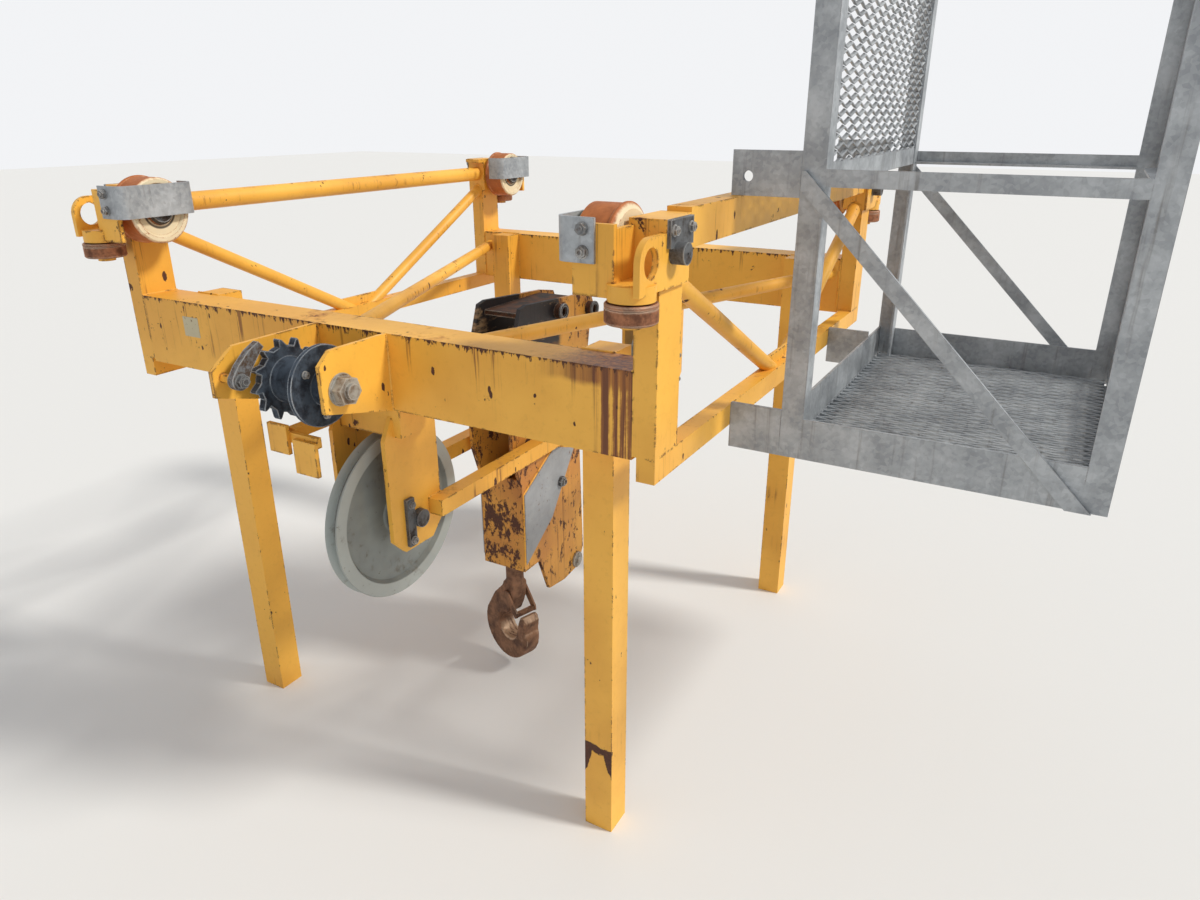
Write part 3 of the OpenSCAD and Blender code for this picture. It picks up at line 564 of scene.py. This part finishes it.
class Shape(Nodes):
    """A Geometry Nodes tree with named sizes, which ends as a plain mesh."""

    def __init__(self, name, **sizes):
        super().__init__(bpy.data.node_groups.new(name, "GeometryNodeTree"))
        face = self.tree.interface
        face.new_socket("Start", in_out="INPUT", socket_type="NodeSocketGeometry")
        for label, value in sizes.items():
            kind = "NodeSocketInt" if isinstance(value, int) else "NodeSocketFloat"
            face.new_socket(label, in_out="INPUT", socket_type=kind)
        face.new_socket("Result", in_out="OUTPUT", socket_type="NodeSocketGeometry")
        self.sizes = sizes
        self.entry = self.tree.nodes.new("NodeGroupInput")
        self.start = Flow(self.tree, self.entry.outputs["Start"])

    def size(self, label):
        return Flow(self.tree, self.entry.outputs[label])

    def vector(self, x=0.0, y=0.0, z=0.0):
        return self.node("ShaderNodeCombineXYZ", inputs={"X": x, "Y": y, "Z": z})

    def join(self, *parts):
        joined = self.tree.nodes.new("GeometryNodeJoinGeometry")
        for part in parts:
            self.tree.links.new(part.socket, joined.inputs[0])
        return Flow(self.tree, joined.outputs[0])

    def end(self, result, finish):
        whole = self.node("GeometryNodeRealizeInstances", inputs={0: result})
        dressed = self.node("GeometryNodeSetMaterial", inputs={0: whole, "Material": finish})
        leave = self.tree.nodes.new("NodeGroupOutput")
        self.tree.links.new(dressed.socket, leave.inputs[0])

    def build(self, name, start_mesh, body, move=None):
        """Runs the tree on a mesh and returns the result, riding on a body."""
        host = bpy.data.objects.new(name + "_host", start_mesh)
        scene.collection.objects.link(host)
        modifier = host.modifiers.new("shape", "NODES")
        modifier.node_group = self.tree
        for item in self.tree.interface.items_tree:
            if item.name in self.sizes:
                modifier[item.identifier] = self.sizes[item.name]
        evaluated = host.evaluated_get(bpy.context.evaluated_depsgraph_get())
        mesh = bpy.data.meshes.new_from_object(evaluated)
        mesh.name = name
        bpy.data.objects.remove(host)
        if move is not None:
            mesh.transform(move)
        return piece(name, mesh, body)


def piece(name, mesh, body, smooth_below=None):
    """Puts a finished mesh in the scene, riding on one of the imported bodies."""
    if smooth_below is not None:
        mesh.shade_smooth()
        mesh.set_sharp_from_angle(angle=math.radians(smooth_below))
    made = bpy.data.objects.new(name, mesh)
    scene.collection.objects.link(made)
    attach(made, body)
    return made


def dots(name, places):
    """A mesh of loose points, from which a tree can start."""
    mesh = bpy.data.meshes.new(name)
    mesh.from_pydata([tuple(p) for p in places], [], [])
    return mesh


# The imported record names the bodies, so each node's own body is looked up there
body_of = {}
for body_name, members in frame["record"]["behaviour"]["bodies"].items():
    for member in members:
        body_of[member] = body_name
FRAME_BODY = body_of["front_beam"]

# %% [markdown]
# Expanded metal is one sheet, slit in staggered rows and pulled open, so each
# strand zigzags and touches its neighbours at every turn. A strand is a line of
# points pushed aside at every second point and swept with a flat leaning bar,
# as the slits leave it. Rows of strands start at alternate turns. The solid
# model has twice the real pitch, so these finer panels stand in for it.

# %% Expanded metal


def expanded_metal(name, length, height, finish, pitch=(0.080, 0.032), strand=0.0085, thick=0.0028,
                   lean=28.0):
    """Panel with its long diamonds along X and its rows along Y, from the origin."""
    turns = 2 * round(length / pitch[0])
    rows = 2 * round(height / pitch[1])
    margin = strand * 0.55
    half_pitch = (length - 2 * margin) / turns
    row_step = (height - 2 * margin) / rows
    t = Shape(name, Turns=turns, Rows=rows // 2, Half_pitch=half_pitch, Row_step=row_step,
              Swing=row_step - 0.55 * strand, Strand=strand, Thickness=thick,
              Lean=math.radians(lean), Margin=margin)
    bar = t.node("GeometryNodeCurvePrimitiveQuadrilateral", inputs={
        "Width": t.size("Thickness"), "Height": t.size("Strand")})
    index = t.node("GeometryNodeInputIndex")
    panels = []
    for phase in (0, 1):
        line = t.node("GeometryNodeMeshLine", inputs={
            "Count": t.size("Turns") + 1, "Start Location": t.vector(t.size("Margin"), t.size("Margin")),
            "Offset": t.vector(t.size("Half_pitch"))})
        odd = (index + phase).maths("MODULO", 2.0)
        aside = t.vector(0.0, odd * t.size("Swing") + 0.275 * t.size("Strand"))
        zigzag = t.node("GeometryNodeSetPosition", inputs={"Geometry": line, "Offset": aside})
        path = t.node("GeometryNodeMeshToCurve", inputs={"Mesh": zigzag})
        leaning = t.node("GeometryNodeSetCurveTilt", inputs={"Curve": path, "Tilt": t.size("Lean")})
        strand_mesh = t.node("GeometryNodeCurveToMesh", inputs={
            "Curve": leaning, "Profile Curve": bar, "Fill Caps": True})
        places = t.node("GeometryNodeMeshLine", inputs={
            "Count": t.size("Rows"), "Start Location": t.vector(0.0, phase * t.size("Row_step")),
            "Offset": t.vector(0.0, 2.0 * t.size("Row_step"))})
        panels.append(t.node("GeometryNodeInstanceOnPoints", inputs={
            "Points": places, "Instance": strand_mesh}))
    t.end(t.join(*panels), finish)
    print(name, turns, "turns in", rows, "rows")
    return t


def standing(corner, along, up):
    """Matrix that stands a panel at a corner, with its X along and its Y up."""
    turned = Matrix((along, up, along.cross(up))).transposed().to_4x4()
    return Matrix.Translation(corner) @ turned


X = Vector((1, 0, 0))
Y = Vector((0, 1, 0))
Z = Vector((0, 0, 1))
side_low, side_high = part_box("basket_mesh")
side_corner = Vector(((side_low.x + side_high.x) / 2, side_low.y, side_low.z))
side_tree = expanded_metal("side_metal", side_high.y - side_low.y, side_high.z - side_low.z, zinc)
side_panel = side_tree.build("side_metal", dots("side_start", [(0, 0, 0)]), body_of["basket_mesh"],
                             standing(side_corner, Y, Z))
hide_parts("basket_mesh")
floor_low, floor_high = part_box("basket_floor")
floor_corner = Vector((floor_low.x, floor_low.y, (floor_low.z + floor_high.z) / 2))
floor_tree = expanded_metal("floor_metal", floor_high.x - floor_low.x, floor_high.y - floor_low.y, zinc,
                            strand=0.010, thick=0.0032, lean=18.0)
floor_panel = floor_tree.build("floor_metal", dots("floor_start", [(0, 0, 0)]), body_of["basket_floor"],
                               standing(floor_corner, X, Y))
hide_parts("basket_floor")
print("expanded metal:", len(side_panel.data.polygons) + len(floor_panel.data.polygons), "faces")

# %% [markdown]
# The hook is a forging, so none of its edges is sharp. A copy of the solid is
# merged, rebuilt from small voxels and relaxed, which rounds it as hammering
# does and keeps its size.

# %% Forged hook


def forged_copy(name, source, finish, voxel, rounds):
    """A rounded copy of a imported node, which stands in for it."""
    mesh = nodes[source].data.copy()
    mesh.materials.clear()
    work = bmesh.new()
    work.from_mesh(mesh)
    bmesh.ops.remove_doubles(work, verts=work.verts, dist=0.00002)
    bmesh.ops.recalc_face_normals(work, faces=work.faces)
    work.to_mesh(mesh)
    work.free()
    host = bpy.data.objects.new(name + "_host", mesh)
    scene.collection.objects.link(host)
    remesh = host.modifiers.new("voxels", "REMESH")
    remesh.mode = "VOXEL"
    remesh.voxel_size = voxel
    relax = host.modifiers.new("relax", "SMOOTH")
    relax.factor = 0.5
    relax.iterations = rounds
    evaluated = host.evaluated_get(bpy.context.evaluated_depsgraph_get())
    smooth = bpy.data.meshes.new_from_object(evaluated)
    smooth.name = name
    bpy.data.objects.remove(host)
    smooth.materials.clear()
    smooth.materials.append(finish)
    for face in smooth.polygons:
        face.material_index = 0
        face.use_smooth = True
    made = piece(name, smooth, body_of[source])
    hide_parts(source)
    print(name, len(smooth.polygons), "faces")
    return made


forged_hook = forged_copy("forged_hook", "hook", forged, 0.0034, 14)

# %% [markdown]
# Bolts repeat all over the machine. One tree makes a washer, a hexagon head and
# the end of a thread, and sets a copy on each point of its start mesh, turned a
# little differently each time, because no two bolts stop at the same angle.
# Faces of the machine look along different axes, so each set has its direction.

# %% Bolts

TOWARDS = {"+X": (0, math.pi / 2, 0), "-X": (0, -math.pi / 2, 0), "-Y": (math.pi / 2, 0, 0),
           "+Y": (-math.pi / 2, 0, 0)}
SIXTH_TURN = 1.05
BOTH = (-1, 1)


def bolts(name, towards, places, across, head, finish=bolt_steel, body=None):
    """Bolts of one size, given across their flats and by their heads' height."""
    t = Shape(name, Across=across, Head=head, Washer=0.0022, Seed=1)
    washer = t.node("GeometryNodeMeshCylinder", inputs={
        "Vertices": 20, "Radius": 0.66 * t.size("Across"), "Depth": t.size("Washer")})
    washer = t.node("GeometryNodeTransform", inputs={
        "Geometry": washer, "Translation": t.vector(0.0, 0.0, 0.5 * t.size("Washer"))})
    nut = t.node("GeometryNodeMeshCylinder", inputs={
        "Vertices": 6, "Radius": 0.577 * t.size("Across"), "Depth": t.size("Head")})
    nut = t.node("GeometryNodeTransform", inputs={
        "Geometry": nut, "Translation": t.vector(0.0, 0.0, t.size("Washer") + 0.5 * t.size("Head"))})
    thread = t.node("GeometryNodeMeshCylinder", inputs={
        "Vertices": 14, "Radius": 0.32 * t.size("Across"), "Depth": 0.4 * t.size("Head")})
    thread = t.node("GeometryNodeTransform", inputs={
        "Geometry": thread, "Translation": t.vector(0.0, 0.0, t.size("Washer") + 1.2 * t.size("Head"))})
    angle = t.node("FunctionNodeRandomValue", {"data_type": "FLOAT"}, out=1, inputs={
        2: 0.0, 3: SIXTH_TURN, "Seed": t.size("Seed")})
    placed = t.node("GeometryNodeInstanceOnPoints", inputs={
        "Points": t.start, "Instance": t.join(washer, nut, thread), "Rotation": TOWARDS[towards]})
    varied = t.node("GeometryNodeRotateInstances", inputs={
        "Instances": placed, "Rotation": t.vector(0.0, 0.0, angle)})
    t.end(varied, finish)
    return t.build(name, dots(name + "_places", places), body or FRAME_BODY)


GUARD_BOLT_X = 0.666
GUARD_BOLT_INSET = 0.019
KEEPER_FACE = 0.7935
KEEPER_Z = 1.513
guard_low, guard_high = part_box("wheel_guards")
guard_front = guard_low.y - middle.y
guard_rows = (guard_high.z - GUARD_BOLT_INSET, guard_low.z + GUARD_BOLT_INSET)
for name, towards, y in (("front_guard_bolts", "-Y", guard_front), ("rear_guard_bolts", "+Y", -guard_front)):
    places = [at(side * GUARD_BOLT_X, y, z) for z in guard_rows for side in BOTH]
    bolts(name, towards, places, across=0.018, head=0.0075)

for name, towards, side in (("left_keeper_bolts", "-X", -1), ("right_keeper_bolts", "+X", 1)):
    places = [at(side * KEEPER_FACE, end * y, KEEPER_Z) for end in BOTH for y in (0.7875, 0.717)]
    bolts(name, towards, places, across=0.016, head=0.006)

places = [at(0.122, end * 0.7715, z) for end in BOTH for z in (0.738, 0.832)]
bolts("pulley_keeper_bolts", "+X", places, across=0.016, head=0.006)

# %% [markdown]
# Washers, grease nipples, retaining rings and bushing rims are turned. Each is a
# short profile spun about an axis, given as pairs of radius and height above the
# face that it sits on. The profile starts and ends on the axis or closes on
# itself, so every piece is a closed solid.

# %% Turned fittings


def turned(name, profile, towards, places, finish, body=None, steps=28, closed=False):
    """Spins one profile about an axis at each place."""
    aim = Vector({"X": (1, 0, 0), "Y": (0, 1, 0), "Z": (0, 0, 1)}[towards[1]])
    if towards[0] == "-":
        aim = -aim
    work = bmesh.new()
    for place in places:
        turn = aim.to_track_quat("Z", "Y").to_matrix().to_4x4()
        ring = [work.verts.new((radius, 0, height)) for radius, height in profile]
        edges = [work.edges.new(pair) for pair in zip(ring, ring[1:])]
        if closed:
            edges.append(work.edges.new((ring[-1], ring[0])))
        bmesh.ops.spin(work, geom=ring + edges, cent=(0, 0, 0), axis=(0, 0, 1),
                       angle=2 * math.pi, steps=steps, use_merge=True)
        fresh = [v for v in work.verts if not v.tag]
        bmesh.ops.transform(work, matrix=Matrix.Translation(place) @ turn, verts=fresh)
        for v in fresh:
            v.tag = True
    bmesh.ops.remove_doubles(work, verts=work.verts, dist=0.00001)
    bmesh.ops.recalc_face_normals(work, faces=work.faces)
    mesh = bpy.data.meshes.new(name)
    work.to_mesh(mesh)
    work.free()
    mesh.materials.append(finish)
    return piece(name, mesh, body or FRAME_BODY, smooth_below=35)


BLOCK_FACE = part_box("block_head")[1].x - middle.x - SIDE_INSET
WINCH_Y = -0.945
WINCH_Z = 1.168
axles_low, axles_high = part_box("wheel_axles")
axle_end = axles_high.x - middle.x
NIPPLE = [(0, 0), (0.0055, 0), (0.0055, 0.004), (0.0035, 0.005), (0.0026, 0.009), (0.0038, 0.010),
          (0.0038, 0.013), (0.0018, 0.0155), (0, 0.0155)]
CIRCLIP = [(0.0165, 0), (0.0235, 0), (0.0235, 0.0028), (0.0165, 0.0028)]
for name, towards, side in (("left_nipples", "-X", -1), ("right_nipples", "+X", 1)):
    places = [at(side * (axle_end - NIPPLE[-1][1]), end * WHEEL_OUT, wheel_at.z) for end in BOTH]
    turned(name, [(r * 1.3, h) for r, h in NIPPLE], towards, places, bolt_steel, steps=14)
sheave_y = [(sum(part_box(n), Vector()) / 2).y - middle.y for n in ("front_sheave", "rear_sheave")]
sheave_z = (sum(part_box("front_sheave"), Vector()) / 2).z
turned("sheave_circlips", CIRCLIP, "+X", [at(BLOCK_FACE + 0.003, y, sheave_z) for y in sheave_y],
       bolt_steel, closed=True)
WASHER = [(0, 0), (0.026, 0), (0.0272, 0.0012), (0.0272, 0.0065), (0.026, 0.0075), (0.0125, 0.0075),
          (0.0125, 0.0135), (0.0112, 0.015), (0, 0.015)]
turned("block_washer", WASHER, "+X", [at(BLOCK_FACE, 0.018, 0.300)], bright_steel)
bolts("block_nut", "+X", [at(BLOCK_FACE, -0.082, 0.627)], across=0.030, head=0.016, finish=axle_steel)
COLLAR = [(0.020, 0), (0.0275, 0), (0.0285, 0.001), (0.0285, 0.0055), (0.0275, 0.0065), (0.020, 0.0065)]
places = [at(BLOCK_FACE + 0.0185, y, z) for y, z in ((-0.072, 1.164), (0.107, 1.139))]
turned("bushing_rims", [(r - 0.0045, h) for r, h in COLLAR], "+X", places, axle_steel, closed=True)
bolts("winch_nuts", "+X", [at(0.1213, WINCH_Y, WINCH_Z)], across=0.054, head=0.0250, finish=bright_steel)
bolts("pawl_bolt", "+X", [at(-0.034, -1.063, 1.194)], across=0.024, head=0.010, finish=axle_steel)
places = [at(0.0755, WINCH_Y + 0.062 * math.cos(a), WINCH_Z + 0.062 * math.sin(a)) for a in (0.4, 2.5, 4.6)]
bolts("drum_bolts", "+X", places, across=0.013, head=0.006, body=body_of["winch_drum"])

# %% [markdown]
# Weld beads are what tells a welded frame from a moulded one. Each joint is a
# path of points along its inner corner. One tree resamples every path evenly,
# varies the radius in ripples, as each dab of the welder left it, and sweeps a
# six-sided ring along it. The bead is half sunk in both faces that it joins.

# %% Weld beads


def ring_path(centre, axis_a, axis_b, radius, steps=18):
    """Points once around a tube; longer axes make the ring of a tube that meets at a slant."""
    turns = [2 * math.pi * i / steps for i in range(steps + 1)]
    return [centre + radius * (math.cos(a) * axis_a + math.sin(a) * axis_b) for a in turns]


LEG_SIDES = (0.5555, 0.6305)
POST_SIDES = (0.7235, 0.7735)
TUBE_RADIUS = 0.0195


def weld_paths():
    """Points along the inner corner of every joint, in metres from the trolley's middle."""
    beam_in = -front_high.y + middle.y
    post = rear_high.x - middle.x
    face = front_low.y - middle.y
    paths = []
    for end in BOTH:
        for side in BOTH:
            # Beam end against its post: over the beam's top, and down its inner corner
            paths.append([at(side * post, end * -face, beam_top), at(side * post, end * beam_in, beam_top),
                          at(side * post, end * beam_in, beam_under)])
            # Leg against the beam's inner face
            for x in LEG_SIDES:
                paths.append([at(side * x, end * beam_in, beam_under + 0.004),
                              at(side * x, end * beam_in, beam_top)])
            paths.append([at(side * x, end * beam_in, beam_top) for x in LEG_SIDES])
            # Side tube where it meets the post
            paths.append(ring_path(at(side * 0.7485, end * beam_in, 1.4135), X, Z * 1.13, TUBE_RADIUS))
            # Post on the lower rail
            paths.append([at(side * x, end * 0.699, 1.085) for x in POST_SIDES])
        # Tie tubes against the hanger plates
        for x in (0.112, -0.062):
            paths.append([at(x, end * 0.652, 0.777), at(x, end * 0.652, 0.819), at(x, end * 0.698, 0.819)])
    # Plan bracing tubes against the beams
    for x, end in ((-0.106, -1), (0.194, -1), (-0.6915, 1), (0.6915, 1)):
        paths.append(ring_path(at(x, end * beam_in, beam_top - 0.050), X * 1.07, Z, TUBE_RADIUS))
    # Winch brackets on the beam's face
    for x in (0.111, 0.121, -0.088, -0.098):
        paths.append([at(x, face, beam_under + 0.003), at(x, face, beam_top - 0.002)])
    # Raised plates on the hook block's sides
    outline = [(-0.281, 0.425), (-0.281, 0.655), (-0.112, 0.752), (0.0, 0.712), (-0.133, 0.525),
               (-0.281, 0.425)]
    paths.append([at(BLOCK_FACE, y, z) for y, z in outline])
    # Shelf over each guide roller, and the ring lug's plate
    for side in BOTH:
        for end in BOTH:
            paths.append([at(side * x, end * 0.799, 1.414) for x in POST_SIDES])
            paths.append([at(side * POST_SIDES[1], end * y, 1.430) for y in (0.864, 0.800)])
    return paths


def weld_mesh(paths):
    """One mesh of loose edges, from which the tree makes its curves."""
    points, lines = [], []
    for path in paths:
        first = len(points)
        points += [tuple(p) for p in path]
        lines += [(i, i + 1) for i in range(first, len(points) - 1)]
    mesh = bpy.data.meshes.new("weld_lines")
    mesh.from_pydata(points, lines, [])
    return mesh


t = Shape("weld_tree", Spacing=0.0050, Radius=0.0036, Ripple=0.30)
lines = t.node("GeometryNodeMeshToCurve", inputs={"Mesh": t.start})
even = t.node("GeometryNodeResampleCurve", {"mode": "LENGTH"}, inputs={
    "Curve": lines, "Length": t.size("Spacing")})
index = t.node("GeometryNodeInputIndex")
rise = index.maths("MODULO", 2.0) * t.size("Ripple")
wander = t.node("ShaderNodeTexNoise", inputs={"Scale": 60.0, "Detail": 1.0})
girth = t.size("Radius") * (0.55 + rise + 0.6 * wander)
ring = t.node("GeometryNodeCurvePrimitiveCircle", inputs={"Resolution": 6, "Radius": 1.0})
bead = t.node("GeometryNodeCurveToMesh", inputs={
    "Curve": even, "Profile Curve": ring, "Scale": girth, "Fill Caps": True})
t.end(bead, frame_paint)
paths = weld_paths()
welds = t.build("weld_beads", weld_mesh(paths), FRAME_BODY)
welds.data.shade_smooth()
print("welds:", len(paths), "paths,", len(welds.data.polygons), "faces")

# %% [markdown]
# A faded blank sticker stays on the front beam's face, with nothing on it. It is
# a thin bevelled box, whose back goes a little into the beam so that no gap shows.
# The flat bar that the side's expanded metal ends on is made in the same way.

# %% Thin plates


def plate(name, low, high, finish, body=None, bevel=0.001):
    """A box between two corners, with its edges just broken."""
    work = bmesh.new()
    bmesh.ops.create_cube(work, size=1.0)
    size = high - low
    bevel = min(bevel, min(size) * 0.4)
    bmesh.ops.scale(work, vec=size, verts=work.verts)
    bmesh.ops.translate(work, vec=(low + high) / 2, verts=work.verts)
    bmesh.ops.bevel(work, geom=work.edges[:], offset=bevel, segments=2, affect="EDGES")
    bmesh.ops.recalc_face_normals(work, faces=work.faces)
    mesh = bpy.data.meshes.new(name)
    work.to_mesh(mesh)
    work.free()
    mesh.materials.append(finish)
    return piece(name, mesh, body or FRAME_BODY)


faded = Finish("faded_film")
film_wear = faded.step(faded.noise(70.0, 5.0, 0.7), 0.58, 0.64)
film_tint = faded.mix(faded.noise(12.0), colour(206, 196, 164), colour(176, 164, 130))
faded_film = faded.set(Base_Color=faded.mix(film_wear, film_tint, colour(110, 82, 50)),
                       Roughness=0.35 + 0.3 * film_wear)
beam_face = front_low.y - middle.y
plate("blank_sticker", at(-0.573, beam_face - 0.0006, 1.166), at(-0.514, beam_face + 0.001, 1.217),
      faded_film, bevel=0.0003)
# The bar covers the mesh on both sides and ends clear of the posts
BAR_HEIGHT = 0.044
bar_grown = Vector((0.0035, -0.043, 0.0))
bar_top = Vector((side_high.x, side_high.y, side_low.z + BAR_HEIGHT))
plate("side_mesh_bar", side_low - bar_grown, bar_top + bar_grown, zinc, body_of["basket_mesh"])

# %% [markdown]
# The stage is a pale floor under a pale sky. One large soft lamp stands to the
# right and behind, high up, as the sun did, and the sky fills the shadows so
# that the shaded front stays readable. The floor keeps the trolley's shadow.

# %% Floor and light
FLOOR_REACH = 30
SKY_FILL = 0.56
SKY_SEEN = 0.92
corners = [(-FLOOR_REACH, -FLOOR_REACH, 0), (FLOOR_REACH, -FLOOR_REACH, 0), (FLOOR_REACH, FLOOR_REACH, 0),
           (-FLOOR_REACH, FLOOR_REACH, 0)]
stage_mesh = bpy.data.meshes.new("floor")
stage_mesh.from_pydata(corners, [], [(0, 1, 2, 3)])
floor = bpy.data.objects.new("floor", stage_mesh)
scene.collection.objects.link(floor)
floor_finish = Finish("floor_finish")
stage_mesh.materials.append(floor_finish.set(Base_Color=(0.78, 0.78, 0.77, 1), Roughness=0.9))

world = bpy.data.worlds.new("sky")
world.use_nodes = True
scene.world = world
sky = Nodes(world.node_tree)
direct = sky.node("ShaderNodeLightPath", out="Is Camera Ray")
glossy = sky.node("ShaderNodeLightPath", out="Is Glossy Ray")
strength = sky.node("ShaderNodeMapRange", inputs={
    "Value": direct.maths("MAXIMUM", glossy), "To Min": SKY_FILL, "To Max": SKY_SEEN})
background = world.node_tree.nodes["Background"]
feed(world.node_tree, background.inputs["Strength"], strength)
background.inputs["Color"].default_value = (0.97, 0.98, 1.0, 1.0)

lamp_data = bpy.data.lights.new("key", "SUN")
lamp_data.energy = 2.5
lamp_data.angle = math.radians(9)
lamp_data.color = (1.0, 0.97, 0.91)
lamp = bpy.data.objects.new("key", lamp_data)
lamp.rotation_euler = Vector((-0.82, -0.22, -0.74)).to_track_quat("-Z", "Y").to_euler()
scene.collection.objects.link(lamp)
